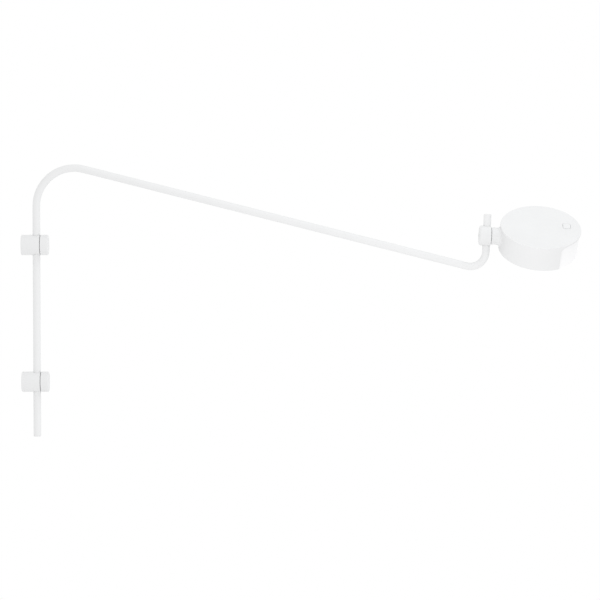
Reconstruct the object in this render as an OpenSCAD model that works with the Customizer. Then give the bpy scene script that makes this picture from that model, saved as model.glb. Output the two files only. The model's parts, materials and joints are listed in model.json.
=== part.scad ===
/* [Wall brackets] */
// diameter of each cylindrical wall bracket, mm
bracket_d = 32; // [30:0.5:36]
// distance between the two bracket axes, mm
bracket_pitch = 216; // [190:1:240]
// distance from the wall to the axis of the tube, mm
tube_x = 23.6; // [23:0.1:28]
// length of the clamp knob in front of the tube, mm
knob_len = 12.4; // [12:0.1:18]
// gap between a bracket body and its knob, mm
knob_gap = 0.8; // [0.8:0.1:1.4]
// radius of the wall screw hole, mm
wall_hole_r = 2.25; // [2:0.05:2.5]

/* [Arm tube] */
// outer diameter of the arm tube, mm
tube_d = 12; // [12:0.1:12.4]
// wall of the arm tube, mm
tube_wall = 1.5; // [1.2:0.1:1.6]
// straight tube below the lower bracket axis, mm
tube_below = 85; // [60:1:110]
// height of the first corner of the tube path above the upper bracket axis, mm
corner_above = 138; // [125:1:170]
// horizontal distance between the two corners of the tube path, mm
arm_reach = 706.6; // [450:0.2:760]
// slope of the long arm below the horizontal, degrees
arm_slope = 14.17; // [5:0.01:20]
// centreline radius of the wall side bend, mm
bend1_r = 60; // [50:1:62]
// centreline radius of the lamp side bend, mm
bend2_r = 24; // [22:0.5:30]
// tube above the second corner of the path, mm
end_above = 88; // [86:1:110]
// lean of the end section, degrees
end_lean = 2.5; // [0:0.1:4]

/* [Head joint] */
// height of the clamp block axis above the second corner, mm
block_above = 55; // [53:0.5:58]
// diameter of the clamp block, mm
block_d = 32; // [31:0.5:34]
// block in front of the end section axis, mm
block_front = 6.2; // [6:0.1:7.6]
// block behind the end section axis, mm
block_back = 12; // [11.8:0.1:15]
// diameter of the neck, mm
neck_d = 27; // [26.4:0.1:29]

/* [Lamp head] */
// diameter of the lamp head, mm
head_d = 127; // [124:0.5:134]
// height of the lamp head, mm
head_h = 40.6; // [40:0.1:46]
// distance from the end section axis to the centre of the head, mm
head_out = 83.8; // [83:0.1:90]
// roll of the head about its neck at rest, degrees
head_roll = 31; // [0:0.5:45]
// swing of the head about the end section at rest, degrees
head_yaw = 1.4; // [0:0.1:5]
// half of the angle that the light window covers, degrees
window_half = 63.5; // [50:0.5:68]
// thickness of the top plate, mm
top_t = 2.6; // [2.4:0.1:3.4]
// wall of the lamp head, mm
shell_t = 2; // [1.8:0.1:2.4]

/* [Hidden] */
$fn = 96;
e = 0.02;
paint = [0.93, 0.93, 0.92];
dark = [0.12, 0.12, 0.12];
nylon = [0.85, 0.85, 0.82];
steel = [0.70, 0.71, 0.73];
green = [0.1, 0.35, 0.2];
phosphor = [0.95, 0.85, 0.4];
opal = [1, 0.97, 0.88];

br = bracket_d / 2;
tr = tube_d / 2;
bore_r = tr - tube_wall;
run = 0.05;
liner_r = tr + 1.3;
pass_r = tr + 0.35;
grub_x = 3.6;
grub_r = 2;
body_front = tube_x + tr - 0.3;
knob_back = body_front + knob_gap;
knob_front = knob_back + knob_len;
spigot_r = br - 3.5;
spigot_front = knob_back + 8;
plunger_r = 7.95;
plunger_front = spigot_front + 0.9;
boss_t = 7;
boss_r = br - 3.4;
up_z = bracket_pitch / 2;
low_z = -bracket_pitch / 2;

// path of the tube: two corners, two bends
turn1 = 90 + arm_slope;
turn2 = 90 + arm_slope - end_lean;
t1 = bend1_r * tan(turn1 / 2);
t2 = bend2_r * tan(turn2 / 2);
c1z = up_z + corner_above;
c2x = tube_x + arm_reach;
c2z = c1z - arm_reach * tan(arm_slope);
low_end = low_z - tube_below;
straight = arm_reach / cos(arm_slope) - t1 - t2;
b1x = tube_x + bend1_r;
b1z = c1z - t1;
b2x = c2x - t2 * cos(arm_slope) + bend2_r * sin(arm_slope);
b2z = c2z + t2 * sin(arm_slope) + bend2_r * cos(arm_slope);

block_r = block_d / 2;
neck_r = neck_d / 2;
neck_back = block_front + 0.8;
spig_r = 8;
spig_end = neck_back + 14.6;
hr = head_d / 2;
hz = head_h / 2;
plate_z = hz - top_t;
in_r = hr - shell_t;
win_y = hr * sin(window_half);
btn_x = 0.65 * hr;
btn_y = 6;
// directions of the pillars under the lid and of the screw lugs, and their distances out
pillars = [75, 165, 285];
pillar_x = 38;
lugs = [100, 150, 210, 260];
lug_x = in_r - 2.8;
// light source: underside of the spreader plate, and thicknesses
board_z = 3;
board_t = 1.6;
spreader_t = 2.5;
led_t = 0.7;
driver_z = board_z + spreader_t + e;
lead_r = 1.25;

// bend 1: from straight up to the arm direction
module bend1(r) {
    translate([b1x, 0, b1z]) rotate([90, 0, 0]) rotate([0, 0, 180 - turn1])
        rotate_extrude(angle = turn1) translate([bend1_r, 0]) circle(r = r);
}
module bend2(r) {
    translate([b2x, 0, b2z]) rotate([90, 0, 0]) rotate([0, 0, -90 - arm_slope])
        rotate_extrude(angle = turn2) translate([bend2_r, 0]) circle(r = r);
}
// the three straights; over is how far each runs on into its bends
module straights(r, over, low, high) {
    translate([tube_x, 0, low]) cylinder(r = r, h = b1z - low + over);
    translate([tube_x, 0, c1z]) rotate([0, 90 + arm_slope, 0]) translate([0, 0, t1 - over])
        cylinder(r = r, h = straight + 2 * over);
    translate([c2x, 0, c2z]) rotate([0, end_lean, 0]) translate([0, 0, t2 - over])
        cylinder(r = r, h = high - t2 + over);
}
module path(r, slim, over, low, high) {
    straights(r, over, low, high);
    bend1(r - slim);
    bend2(r - slim);
}

// frames: end section, block, and rolled head
module at_block() {
    translate([c2x, 0, c2z]) rotate([0, end_lean, 0]) translate([0, 0, block_above])
        rotate([0, 0, head_yaw]) children();
}
module at_head() { at_block() rotate([head_roll, 0, 0]) children(); }
module along_x(x) { translate([x, 0, 0]) rotate([0, 90, 0]) children(); }
module rod_x(r, x0, x1) { along_x(x0) cylinder(r = r, h = x1 - x0); }
module cone_x(ra, rb, x0, x1) { along_x(x0) cylinder(r1 = ra, r2 = rb, h = x1 - x0); }

// rod along x whose front edge is rounded
module round_end(r, x0, x1, f) {
    along_x(x0) rotate_extrude() {
        square([r, x1 - x0 - f]);
        square([r - f, x1 - x0]);
        translate([r - f, x1 - x0 - f]) circle(r = f);
    }
}

module wall_boss() {
    color(steel) difference() {
        rod_x(boss_r - 0.1, 0, boss_t);
        rod_x(wall_hole_r, -1, boss_t + 1);
        cone_x(wall_hole_r, 4.6, boss_t - 2.35, boss_t + 0.001);
    }
}

module bracket_body() {
    color(paint) difference() {
        union() {
            rod_x(br, 0.6, body_front - 0.5);
            cone_x(br - 0.6, br, 0, 0.6);
            cone_x(br, br - 0.5, body_front - 0.5, body_front);
            rod_x(spigot_r, body_front - 1, spigot_front);
        }
        rod_x(boss_r, -1, boss_t + 0.2);
        rod_x(plunger_r + run, tube_x + 3.6, spigot_front + 1);
        translate([tube_x, 0, -br - 1]) cylinder(r = pass_r, h = 2 * br + 2);
        intersection() {
            translate([tube_x, 0, -12]) cylinder(r = liner_r, h = 24);
            translate([tube_x - 12, -10, -14]) cube([11.5, 20, 28]);
        }
        translate([grub_x, 0, -br - 1]) cylinder(r = grub_r + 0.03, h = 5);
    }
}

module bracket_grub() {
    color(steel) translate([grub_x, 0, -br + 0.5]) difference() {
        cylinder(r = grub_r, h = br - boss_r - 0.42);
        translate([0, 0, -0.1]) cylinder(r = 1.15, h = 1.9, $fn = 6);
    }
}

// half sleeve that backs the tube on the wall side
module tube_liner() {
    color(nylon) intersection() {
        difference() {
            translate([tube_x, 0, -11.9]) cylinder(r = liner_r - 0.03, h = 23.8);
            translate([tube_x, 0, -13]) cylinder(r = tr + run, h = 26);
        }
        translate([tube_x - 12, -10, -14]) cube([11.2, 20, 28]);
    }
}

module clamp_plunger() {
    color(nylon) difference() {
        rod_x(plunger_r, tube_x + 4.2, plunger_front);
        translate([tube_x, 0, -12]) cylinder(r = tr + run, h = 24);
    }
}

module clamp_knob() {
    color(paint) difference() {
        union() {
            cone_x(br - 0.4, br, knob_back, knob_back + 0.4);
            round_end(br, knob_back + 0.4, knob_front, 1.7);
        }
        rod_x(spigot_r + run, knob_back - 1, plunger_front + 0.02);
        rod_x(br - 0.9, knob_back - 1, knob_back + 0.5);
    }
}

// dark ring seated in the back of the knob
module knob_ring() {
    color(dark) difference() {
        rod_x(br - 0.95, body_front + 0.5, knob_back + 0.5);
        rod_x(spigot_r + 0.15, body_front, knob_back + 1);
    }
}

module cable_gland() {
    color(paint) translate([tube_x, 0, low_end]) difference() {
        union() {
            translate([0, 0, -1.6]) cylinder(r = tr - 0.15, h = 1.55);
            translate([0, 0, -0.4]) cylinder(r = bore_r - run, h = 12.4);
        }
        translate([0, 0, -3]) cylinder(r = 2.6, h = 20);
    }
}

module arm_tube() {
    color(paint) difference() {
        path(tr, e, 0.3, low_end, end_above);
        path(bore_r, -e, 0.3, low_end - 1, end_above + 1);
        at_block() rotate([0, 0, -head_yaw - 112]) rotate_extrude(angle = 224)
            translate([bore_r - 1.4, -2.8]) square([tube_wall + 3, 5.6]);
    }
}

module arm_end_plug() {
    color(paint) translate([c2x, 0, c2z]) rotate([0, end_lean, 0]) translate([0, 0, end_above]) {
        cylinder(r = tr, h = 0.5);
        translate([0, 0, 0.5 - e]) cylinder(r1 = tr, r2 = tr - 0.8, h = 0.7);
        translate([0, 0, -8]) cylinder(r = bore_r, h = 8.1);
    }
}

module arm_lead() {
    color(paint) path(1.4, 0.01, 0.3, low_end + 14, block_above - 1.6);
}

module swivel_block() {
    color(paint) at_block() difference() {
        union() {
            mirror([1, 0, 0]) round_end(block_r, 0.4 - block_front, block_back, 4);
            cone_x(block_r, block_r - 0.4, block_front - 0.4, block_front);
            rod_x(spig_r, block_front - 1, spig_end);
        }
        translate([0, 0, -20]) cylinder(r = pass_r, h = 40);
        intersection() {
            translate([0, 0, -12]) cylinder(r = liner_r, h = 24);
            translate([-12, -10, -14]) cube([11.5, 20, 28]);
        }
        rod_x(3.03, -block_back - 1, -tr - 0.5);
        rod_x(2.65, 4, 10);
        rod_x(4.0, 8.2, spig_end + 1);
    }
}

module block_liner() {
    color(nylon) at_block() intersection() {
        difference() {
            translate([0, 0, -11.9]) cylinder(r = liner_r - 0.03, h = 23.8);
            translate([0, 0, -13]) cylinder(r = tr + run, h = 26);
        }
        translate([-12, -10, -14]) cube([11.2, 20, 28]);
    }
}

module tension_screw() {
    color(steel) at_block() difference() {
        rod_x(3, -block_back + 0.3, -liner_r);
        along_x(-block_back - 1) cylinder(r = 1.73, h = 3.8, $fn = 6);
    }
}

// hollow bush that reaches through the slot of the tube and guides the wires
module wire_bush() {
    color(nylon) at_block() difference() {
        union() {
            rod_x(2.6, 3.0, 9);
            rod_x(3.97, 8.25, 14);
        }
        rod_x(1.7, 0, 15);
    }
}

module ring_x(ro, ri, x0, x1) {
    difference() { rod_x(ro, x0, x1); rod_x(ri, x0 - 1, x1 + 1); }
}

module friction_washer() {
    color(dark) at_block() ring_x(neck_r - 0.5, spig_r + 0.1, block_front, neck_back);
}

module wave_washer() {
    color(steel) at_block() ring_x(11.2, spig_r + 0.15, neck_back + 8.02, neck_back + 9.2);
}

module pivot_nut() {
    color(steel) at_block() difference() {
        along_x(neck_back + 9.22) cylinder(r = 11.1, h = 4.6, $fn = 6);
        rod_x(spig_r + 0.01, neck_back, neck_back + 20);
    }
}

module window_cut(grow) {
    y = win_y + grow;
    top = plate_z;
    translate([head_out, 0, 0]) rotate([90, 0, 90]) linear_extrude(height = hr + 5) {
        translate([-y, -hz - 5]) square([2 * y, top - 8 + hz + 5]);
        translate([-y + 8, -hz - 5]) square([2 * y - 16, top + hz + 5]);
        translate([-y + 8, top - 8]) circle(r = 8);
        translate([y - 8, top - 8]) circle(r = 8);
    }
}

module head_shell() {
    color(paint) at_head() difference() {
        union() {
            translate([head_out, 0, -hz]) cylinder(r = hr, h = plate_z + hz);
            rod_x(neck_r, neck_back + 0.4, 32);
            cone_x(neck_r - 0.4, neck_r, neck_back, neck_back + 0.4);
            // flared root where the neck meets the drum
            along_x(head_out - hr - 4.5) rotate_extrude() difference() {
                square([neck_r + 4.1, 7.5]);
                translate([neck_r + 7, 0]) circle(r = 6.98);
            }
        }
        translate([head_out, 0, -hz - 1]) cylinder(r = in_r, h = plate_z + hz + 2);
        rod_x(spig_r + run, 0, 60);
        rod_x(11.4, neck_back + 8, 40);
        window_cut(0);
    }
    // inner lugs that the screws of the ring and the plate enter
    color(paint) at_head() translate([head_out, 0, 0]) for (a = lugs) rotate([0, 0, a])
        difference() {
            intersection() {
                translate([in_r - 5, -4, -hz + 3.7]) cube([7, 8, 9]);
                translate([0, 0, -hz]) cylinder(r = hr - 0.5, h = head_h);
            }
            translate([lug_x, 0, -hz]) cylinder(r = 1.1, h = 11);
        }
}

module top_plate() {
    color(paint) at_head() translate([head_out, 0, 0]) difference() {
        union() {
            translate([0, 0, plate_z]) cylinder(r = hr, h = top_t - 0.6);
            translate([0, 0, hz - 0.6]) cylinder(r1 = hr, r2 = hr - 0.5, h = 0.6);
            translate([0, 0, plate_z - 2]) difference() {
                cylinder(r = in_r - 0.3, h = 2.1);
                translate([0, 0, -1]) cylinder(r = in_r - 2.3, h = 4);
                translate([0, -hr, -1]) cube([hr, 2 * hr, 4]);
            }
            for (a = pillars) rotate([0, 0, a]) translate([pillar_x, 0, 5.5])
                cylinder(r = 3, h = plate_z - 5.4);
            for (j = [-1, 1]) translate([btn_x - 9.5, btn_y + j * 7.6, plate_z - 6.4])
                cylinder(r = 1.05, h = 6.5);
        }
        translate([btn_x, btn_y, plate_z - 1]) linear_extrude(height = top_t + 2)
            button_shape(0.45);
        for (a = pillars) rotate([0, 0, a]) translate([pillar_x, 0, 4]) cylinder(r = 1.5, h = 8);
    }
}

// rounded rectangle of the push button
module button_shape(g) {
    a = 5.9 + g; b = 7.1 + g; r = 3.4 + g;
    square([2 * a, 2 * (b - r)], center = true);
    square([2 * (a - r), 2 * b], center = true);
    for (i = [-1, 1], j = [-1, 1]) translate([i * (a - r), j * (b - r)]) circle(r = r);
}

module dimmer_button() {
    color(paint) at_head() translate([head_out + btn_x, btn_y, 0]) {
        translate([0, 0, plate_z]) linear_extrude(height = top_t + 0.1) button_shape(0);
        translate([0, 0, plate_z - 1]) linear_extrude(height = 1) button_shape(1.2);
        translate([0, 0, plate_z - 2.2]) cylinder(r = 1.6, h = 1.4);
    }
}

module switch_board() {
    color(green) at_head() translate([head_out + btn_x, btn_y, 0]) {
        difference() {
            translate([-12, -10, plate_z - 6.2]) cube([17, 20, 1.6]);
            for (j = [-1, 1]) translate([-9.5, j * 7.6, plate_z - 8]) cylinder(r = 1.1, h = 5);
        }
        translate([-3, -3, plate_z - 4.6]) cube([6, 6, 1.4]);
    }
}

module heat_spreader() {
    color(steel) at_head() translate([head_out, 0, 0]) difference() {
        translate([0, 0, board_z]) cylinder(r = 47, h = spreader_t);
        for (a = pillars) rotate([0, 0, a]) translate([pillar_x, 0, 0]) cylinder(r = 1.6, h = 10);
    }
}

module led_board() {
    color(nylon) at_head() translate([head_out, 0, 0]) difference() {
        translate([0, 0, board_z - board_t]) cylinder(r = 44, h = board_t);
        for (a = pillars) rotate([0, 0, a]) translate([pillar_x, 0, 0]) cylinder(r = 1.6, h = 10);
    }
}

module leds() {
    color(phosphor) at_head() translate([head_out, 0, board_z - board_t - led_t]) {
        for (a = [0 : 45 : 315]) rotate([0, 0, a + 22.5]) translate([29, 0, 0])
            translate([-1.75, -1.4, 0]) cube([3.5, 2.8, led_t]);
        for (a = [0 : 90 : 270]) rotate([0, 0, a]) translate([14, 0, 0])
            translate([-1.75, -1.4, 0]) cube([3.5, 2.8, led_t]);
    }
}

module led_driver() {
    color(dark) at_head() translate([head_out - 16, 0, 0]) {
        translate([-17, -12, driver_z]) cube([33, 24, 9]);
        translate([-20, -5.5, driver_z]) cube([3.2, 11, 5]);
    }
}

module driver_clips() {
    color(steel) at_head() translate([head_out - 20, 0, driver_z]) for (m = [0, 1]) mirror([0, m, 0]) {
        translate([0, 12, 0]) cube([8, 5, 1]);
        translate([0, 12, 0]) cube([8, 1, 8]);
    }
}

module reflector() {
    color(nylon) at_head() translate([head_out, 0, 0]) difference() {
        translate([0, 0, -hz + 3.8]) cylinder(r1 = 52, r2 = 43.5, h = hz - 2.45);
        translate([0, 0, -hz + 3.7]) cylinder(r1 = 51.05, r2 = 42.4, h = hz - 2.2);
        translate([20, -60, -hz]) cube([60, 120, 60]);
    }
}

// opal cup: a disc under the head and a wall behind the window
module diffuser() {
    color(opal) at_head() translate([head_out, 0, 0]) {
        difference() {
            translate([0, 0, -hz + 1.45]) cylinder(r = in_r - 1, h = 2.1);
            for (a = lugs) rotate([0, 0, a]) translate([lug_x, 0, -hz])
                cylinder(r = 1.4, h = 6);
        }
        difference() {
            translate([0, 0, -hz]) cylinder(r = in_r - 0.25, h = plate_z + hz - 0.3);
            translate([0, 0, -hz - 1]) cylinder(r = in_r - 2.75, h = head_h);
            translate([24.5 - 2 * hr, -hr, -hz - 1]) cube([2 * hr, 2 * hr, head_h + 2]);
        }
    }
}

module retaining_ring() {
    color(paint) at_head() translate([head_out, 0, -hz]) difference() {
        cylinder(r = in_r - 0.15, h = 1.4);
        translate([0, 0, -1]) cylinder(r = in_r - 7.5, h = 4);
        translate([24, -hr, -1]) cube([hr, 2 * hr, 4]);
        for (a = lugs) rotate([0, 0, a]) translate([lug_x, 0, 0]) {
            translate([0, 0, -1]) cylinder(r = 1.2, h = 4);
            translate([0, 0, -0.001]) cylinder(r1 = 2.2, r2 = 1.2, h = 1);
        }
    }
}

module ring_screws() {
    color(steel) at_head() translate([head_out, 0, -hz]) for (a = lugs) rotate([0, 0, a])
        translate([lug_x, 0, 0]) difference() {
            union() {
                cylinder(r = 1.1, h = 8);
                cylinder(r1 = 2.1, r2 = 1.1, h = 1);
            }
            translate([0, 0, -0.1]) cylinder(r = 0.75, h = 0.8, $fn = 6);
        }
}

module board_screws() {
    color(steel) at_head() translate([head_out, 0, 0]) for (a = pillars) rotate([0, 0, a])
        translate([pillar_x, 0, 0]) difference() {
            union() {
                cylinder(r = 1.5, h = 11);
                translate([0, 0, -0.6]) cylinder(r = 2.7, h = 2);
            }
            translate([0, 0, -0.7]) cylinder(r = 1.1, h = 1.2, $fn = 6);
        }
}

module head_lead() {
    bx = spig_end + 4;
    color(paint) at_head() {
        rod_x(lead_r, 1.6, bx);
        translate([bx, 0, 0]) sphere(r = lead_r + 0.05);
        translate([bx, 0, 0]) cylinder(r = lead_r, h = 7.6);
        translate([bx, 0, 7.6]) sphere(r = lead_r + 0.05);
        translate([0, 0, 7.6]) rod_x(lead_r, bx, head_out - 36.05);
    }
}

translate([0, 0, up_z]) wall_boss();  // upper_wall_boss
translate([0, 0, low_z]) wall_boss();  // lower_wall_boss
translate([0, 0, up_z]) bracket_body();  // upper_bracket_body
translate([0, 0, low_z]) bracket_body();  // lower_bracket_body
for (z = [up_z, low_z]) translate([0, 0, z]) bracket_grub();  // bracket_grub_screws
translate([0, 0, up_z]) tube_liner();  // upper_tube_liner
translate([0, 0, low_z]) tube_liner();  // lower_tube_liner
translate([0, 0, up_z]) clamp_plunger();  // upper_clamp_plunger
translate([0, 0, low_z]) clamp_plunger();  // lower_clamp_plunger
translate([0, 0, up_z]) clamp_knob();  // upper_clamp_knob
translate([0, 0, low_z]) clamp_knob();  // lower_clamp_knob
translate([0, 0, up_z]) knob_ring();  // upper_knob_ring
translate([0, 0, low_z]) knob_ring();  // lower_knob_ring
cable_gland();
arm_tube();
arm_end_plug();
arm_lead();
swivel_block();
block_liner();
tension_screw();
wire_bush();
friction_washer();
wave_washer();
pivot_nut();
head_shell();
top_plate();
heat_spreader();
led_board();
leds();
led_driver();
driver_clips();
board_screws();
switch_board();
dimmer_button();
reflector();
diffuser();
retaining_ring();
ring_screws();
head_lead();
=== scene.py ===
import json
import math

import bmesh
import bpy
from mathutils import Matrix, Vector


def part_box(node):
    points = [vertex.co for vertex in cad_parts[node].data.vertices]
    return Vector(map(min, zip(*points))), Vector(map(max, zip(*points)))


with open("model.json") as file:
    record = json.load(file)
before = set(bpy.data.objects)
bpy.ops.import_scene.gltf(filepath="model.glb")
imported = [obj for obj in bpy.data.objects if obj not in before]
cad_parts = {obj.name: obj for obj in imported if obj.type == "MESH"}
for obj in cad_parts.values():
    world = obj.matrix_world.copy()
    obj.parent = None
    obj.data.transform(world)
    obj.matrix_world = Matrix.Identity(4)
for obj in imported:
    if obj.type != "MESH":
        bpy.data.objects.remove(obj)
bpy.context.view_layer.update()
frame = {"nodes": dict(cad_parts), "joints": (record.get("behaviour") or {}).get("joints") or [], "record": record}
nodes = frame["nodes"]

# up through the lamp head: the way that its button comes out
HEAD_UP = -Vector(next(j["axis"] for j in frame["joints"] if j["name"] == "button_press"))
# outer radius of the opal cup in the lamp head
CUP_R = 0.06125
# where the glow of its wall starts and ends, along HEAD_UP from the middle of its box
GLOW_LOW, GLOW_HIGH = -0.016, 0.019

# ---------------------------------------------------------------- camera
# Square on to the plane of the arm, from a little above it.
FOCAL_MM = 156.0
SENSOR_MM = 36.0
DISTANCE = 4.1
PITCH = math.radians(2.8)
TARGET = Vector((0.438725, 0.0, 0.02118))

cam_data = bpy.data.cameras.new("camera")
cam_data.lens = FOCAL_MM
cam_data.sensor_width = SENSOR_MM
cam_data.clip_start = 0.1
cam_data.clip_end = 50.0
cam = bpy.data.objects.new("camera", cam_data)
cam.location = TARGET + DISTANCE * Vector((0.0, -math.cos(PITCH), math.sin(PITCH)))
cam.rotation_mode = "QUATERNION"
cam.rotation_quaternion = (TARGET - cam.location).to_track_quat("-Z", "Y")
bpy.context.scene.collection.objects.link(cam)
bpy.context.scene.camera = cam
bpy.context.scene.view_settings.view_transform = "Standard"


# ---------------------------------------------------------------- materials
# Lengths are in metres and noise scales in cells a metre, both in the frame of the part.
class Mat:
    """A procedural material: node helpers round one Principled shader."""

    def __init__(self, name, **sockets):
        self.mat = bpy.data.materials.new(name)
        self.mat.use_nodes = True
        self.tree = self.mat.node_tree
        self.bsdf = self.tree.nodes["Principled BSDF"]
        for key, value in sockets.items():
            self.bsdf.inputs[key.replace("_", " ")].default_value = value
        self.coord = self.node("ShaderNodeTexCoord").outputs["Object"]
        self.height = None

    def node(self, kind, **props):
        """Add a node and set its properties."""
        n = self.tree.nodes.new(kind)
        for key, value in props.items():
            setattr(n, key, value)
        return n

    def link(self, out, into):
        self.tree.links.new(out, into)

    def noise(self, scale, detail=2.0, rough=0.5, distortion=0.0):
        n = self.node("ShaderNodeTexNoise")
        n.inputs["Scale"].default_value = scale
        n.inputs["Detail"].default_value = detail
        n.inputs["Roughness"].default_value = rough
        n.inputs["Distortion"].default_value = distortion
        self.link(self.coord, n.inputs["Vector"])
        return n.outputs["Fac"]

    def voronoi(self, scale):
        n = self.node("ShaderNodeTexVoronoi")
        n.inputs["Scale"].default_value = scale
        self.link(self.coord, n.inputs["Vector"])
        return n.outputs["Distance"]

    def span(self, fac, low, high, frm=(0.3, 0.7)):
        """Map fac from the two values in frm to low and high."""
        n = self.node("ShaderNodeMapRange")
        n.inputs["From Min"].default_value = frm[0]
        n.inputs["From Max"].default_value = frm[1]
        n.inputs["To Min"].default_value = low
        n.inputs["To Max"].default_value = high
        self.link(fac, n.inputs["Value"])
        return n.outputs["Result"]

    def mix(self, fac, a, b):
        """Blend two colours, each a tuple or a socket."""
        n = self.node("ShaderNodeMix", data_type="RGBA")
        self.link(fac, n.inputs[0])
        for socket, value in ((n.inputs[6], a), (n.inputs[7], b)):
            if isinstance(value, tuple):
                socket.default_value = (*value, 1.0)
            else:
                self.link(value, socket)
        return n.outputs[2]

    def vector(self, operation, a, b, output="Vector"):
        n = self.node("ShaderNodeVectorMath", operation=operation)
        self.link(a, n.inputs[0])
        if b is not None:
            n.inputs[1].default_value = b
        return n.outputs[output]

    def color(self, out):
        self.link(out, self.bsdf.inputs["Base Color"])

    def rough(self, out):
        self.link(out, self.bsdf.inputs["Roughness"])

    def bump(self, out, distance, strength=1.0):
        """Add relief on top of any relief that is there."""
        n = self.node("ShaderNodeBump")
        n.inputs["Strength"].default_value = strength
        n.inputs["Distance"].default_value = distance
        self.link(out, n.inputs["Height"])
        if self.height is not None:
            self.link(self.height, n.inputs["Normal"])
        self.height = n.outputs["Normal"]
        self.link(self.height, self.bsdf.inputs["Normal"])


def powder_coat(name, base, peel=1.0):
    """Baked powder: a soft orange peel, fine grain, and a faint drift of tone and gloss."""
    m = Mat(name, IOR=1.5, Metallic=0.0)
    drift = m.noise(18.0, 3.0, 0.55)
    speck = m.noise(1500.0, 2.0, 0.6)
    light = tuple(min(1.0, c * 1.012) for c in base)
    deep = tuple(c * 0.985 for c in base)
    tone = m.mix(m.span(drift, 0.0, 1.0), deep, light)
    grain = m.mix(m.span(speck, 0.0, 0.35), tone, tuple(c * 0.965 for c in base))
    m.color(grain)
    m.rough(m.span(m.noise(160.0, 3.0), 0.42, 0.54))
    m.bump(m.noise(520.0, 2.0, 0.45), 0.00006 * peel, 0.5)
    m.bump(m.noise(2200.0, 1.0, 0.5), 0.00001 * peel, 0.4)
    return m.mat


def moulded(name, base, rough=0.4, grain=900.0):
    """Moulded plastic: spark-eroded grain and slow colour drift."""
    m = Mat(name, IOR=1.46)
    drift = m.span(m.noise(30.0, 2.0), 0.0, 1.0)
    m.color(m.mix(drift, tuple(c * 0.97 for c in base), base))
    m.rough(m.span(m.noise(240.0, 2.0), rough - 0.05, rough + 0.06))
    m.bump(m.noise(grain, 2.0), 0.00003, 0.5)
    return m.mat


def turned_steel(name, base, rough=0.3):
    """Zinc-plated steel with fine spangle and handling haze."""
    m = Mat(name, Metallic=1.0)
    spangle = m.span(m.voronoi(420.0), 0.0, 1.0, (0.0, 0.9))
    m.color(m.mix(spangle, base, tuple(c * 0.86 for c in base)))
    m.rough(m.span(m.noise(90.0, 4.0, 0.6), rough - 0.08, rough + 0.12))
    m.bump(m.noise(700.0, 2.0), 0.00002, 0.4)
    return m.mat


def rubber(name):
    """Matt rubber with a dusty bloom."""
    m = Mat(name, IOR=1.5)
    bloom = m.span(m.noise(400.0, 3.0), 0.0, 1.0)
    m.color(m.mix(bloom, (0.085, 0.085, 0.088), (0.12, 0.12, 0.122)))
    m.rough(m.span(m.noise(150.0, 2.0), 0.6, 0.8))
    m.bump(m.noise(1400.0, 2.0), 0.00004, 0.6)
    return m.mat


def opal(name):
    """Opal plastic, lit: the face glows most in its middle, and the wall fades upwards; the face gets a darker
    base colour than the wall as painted shade.
    """
    m = Mat(name, IOR=1.49, Roughness=0.35)
    flow = m.span(m.noise(45.0, 2.0, 0.5, 0.4), 0.0, 1.0)
    low, high = (Vector(c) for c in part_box("diffuser"))
    place = m.vector("SUBTRACT", m.coord, (low + high) / 2)
    up = m.vector("DOT_PRODUCT", place, HEAD_UP, "Value")
    across = m.vector("LENGTH", m.vector("CROSS_PRODUCT", place, HEAD_UP), None, "Value")
    on_wall = m.span(across, 0.0, 1.0, (CUP_R - 0.004, CUP_R - 0.003))
    wall = m.mix(flow, (0.785, 0.785, 0.79), (0.80, 0.80, 0.805))
    # painted shade: the face is the same opal as the wall, made darker so the fill light does not wash it out
    face_painted_shade = m.mix(flow, (0.735, 0.735, 0.73), (0.75, 0.75, 0.745))
    m.color(m.mix(on_wall, face_painted_shade, wall))
    glow = m.node("ShaderNodeMix", data_type="FLOAT")
    m.link(on_wall, glow.inputs[0])
    m.link(m.span(across, 0.12, 0.03, (0.0, CUP_R)), glow.inputs[2])
    m.link(m.span(up, 0.128, 0.085, (GLOW_LOW, GLOW_HIGH)), glow.inputs[3])
    m.link(glow.outputs[0], m.bsdf.inputs["Emission Strength"])
    m.link(m.mix(flow, (0.98, 0.985, 1.0), (1.0, 1.0, 1.0)), m.bsdf.inputs["Emission Color"])
    m.bump(m.noise(600.0, 2.0), 0.00002, 0.3)
    return m.mat


def board(name, base):
    """Solder mask over copper: the tracks stand a little proud and a little lighter."""
    m = Mat(name, IOR=1.5)
    tracks = m.node("ShaderNodeTexBrick")
    tracks.inputs["Scale"].default_value = 160.0
    tracks.inputs["Mortar Size"].default_value = 0.03
    m.link(m.coord, tracks.inputs["Vector"])
    m.color(m.mix(tracks.outputs["Fac"], base, tuple(min(1.0, c * 1.25) for c in base)))
    m.rough(m.span(m.noise(200.0), 0.25, 0.4))
    m.bump(tracks.outputs["Fac"], 0.00004, 0.5)
    return m.mat


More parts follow.
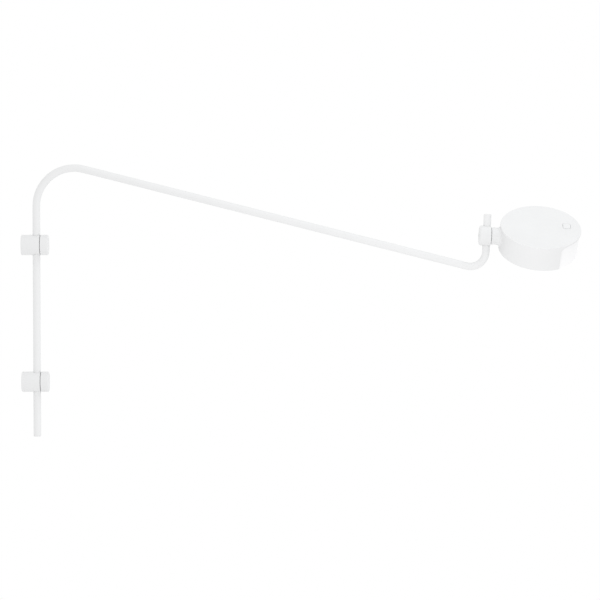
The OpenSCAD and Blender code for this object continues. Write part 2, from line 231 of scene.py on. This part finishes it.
WHITE = (0.787, 0.790, 0.794)
# painted shade: the cast parts get a slightly darker copy of the same white powder coat, standing in for the
# dimmer light on the wall brackets
CAST_WHITE_PAINTED_SHADE = (0.775, 0.778, 0.782)
MATERIALS = {
    "white_powder_coat": powder_coat("powder_coat", WHITE),
    "white_cast": powder_coat("powder_coat_cast_painted_shade", CAST_WHITE_PAINTED_SHADE, 0.8),
    "zinc_steel": turned_steel("zinc_steel", (0.62, 0.63, 0.65)),
    "nylon": moulded("nylon", (0.80, 0.79, 0.76), 0.45),
    "black_rubber": rubber("black_rubber"),
    "white_plastic": moulded("white_plastic", (0.792, 0.796, 0.800), 0.38),
    "aluminium": turned_steel("aluminium_sheet", (0.80, 0.81, 0.82), 0.35),
    "board_white": board("board_white", (0.80, 0.80, 0.78)),
    "board_green": board("board_green", (0.03, 0.20, 0.09)),
    "led_yellow": moulded("led_phosphor", (0.90, 0.74, 0.20), 0.5),
    "driver_black": moulded("driver_black", (0.03, 0.03, 0.032), 0.55),
    "opal": opal("opal_lit"),
    "lead": moulded("lead_sheath", (0.78, 0.78, 0.77), 0.5),
}

slot_of = {s["node"]: s["material_slot"] for s in frame["record"]["subparts"]}
for name, obj in nodes.items():
    obj.data.materials.clear()
    obj.data.materials.append(MATERIALS[slot_of[name]])

# ---------------------------------------------------------------- stage
FLOOR_Z = -4.8
FLOOR_R = 5.0
FLOOR_X = 0.44
FLOOR_TONES = ((0.96, 0.96, 0.96), (0.975, 0.975, 0.975))
mesh = bpy.data.meshes.new("floor")
bm = bmesh.new()
bmesh.ops.create_circle(bm, cap_ends=True, segments=96, radius=FLOOR_R)
bm.to_mesh(mesh)
bm.free()
floor = bpy.data.objects.new("floor", mesh)
floor.location = (FLOOR_X, 0.0, FLOOR_Z)
bpy.context.scene.collection.objects.link(floor)
floor_mat = Mat("floor_matt", Roughness=0.9, IOR=1.3)
floor_drift = floor_mat.span(floor_mat.noise(3.0), 0.0, 1.0)
floor_mat.color(floor_mat.mix(floor_drift, *FLOOR_TONES))
floor.data.materials.append(floor_mat.mat)

# ---------------------------------------------------------------- light
world = bpy.data.worlds.new("studio")
bpy.context.scene.world = world
world.use_nodes = True
background = world.node_tree.nodes["Background"]
background.inputs["Color"].default_value = (1.0, 1.0, 1.0, 1.0)
background.inputs["Strength"].default_value = 1.0


def area_light(name, place, aim, size, watts, tint):
    """Add a round soft light that faces the point aim."""
    data = bpy.data.lights.new(name, "AREA")
    data.shape = "DISK"
    data.size = size
    data.energy = watts
    data.color = tint
    lamp = bpy.data.objects.new(name, data)
    lamp.location = place
    lamp.rotation_mode = "QUATERNION"
    lamp.rotation_quaternion = (Vector(aim) - Vector(place)).to_track_quat("-Z", "Y")
    bpy.context.scene.collection.objects.link(lamp)


area_light("overhead", (1.0, -0.3, 1.5), (0.7, 0.0, 0.1), 1.0, 3.2, (0.95, 0.99, 1.0))
area_light("low_fill", (0.62, -0.8, -0.4), (0.72, 0.0, 0.12), 0.6, 1.22, (1.0, 0.992, 0.992))
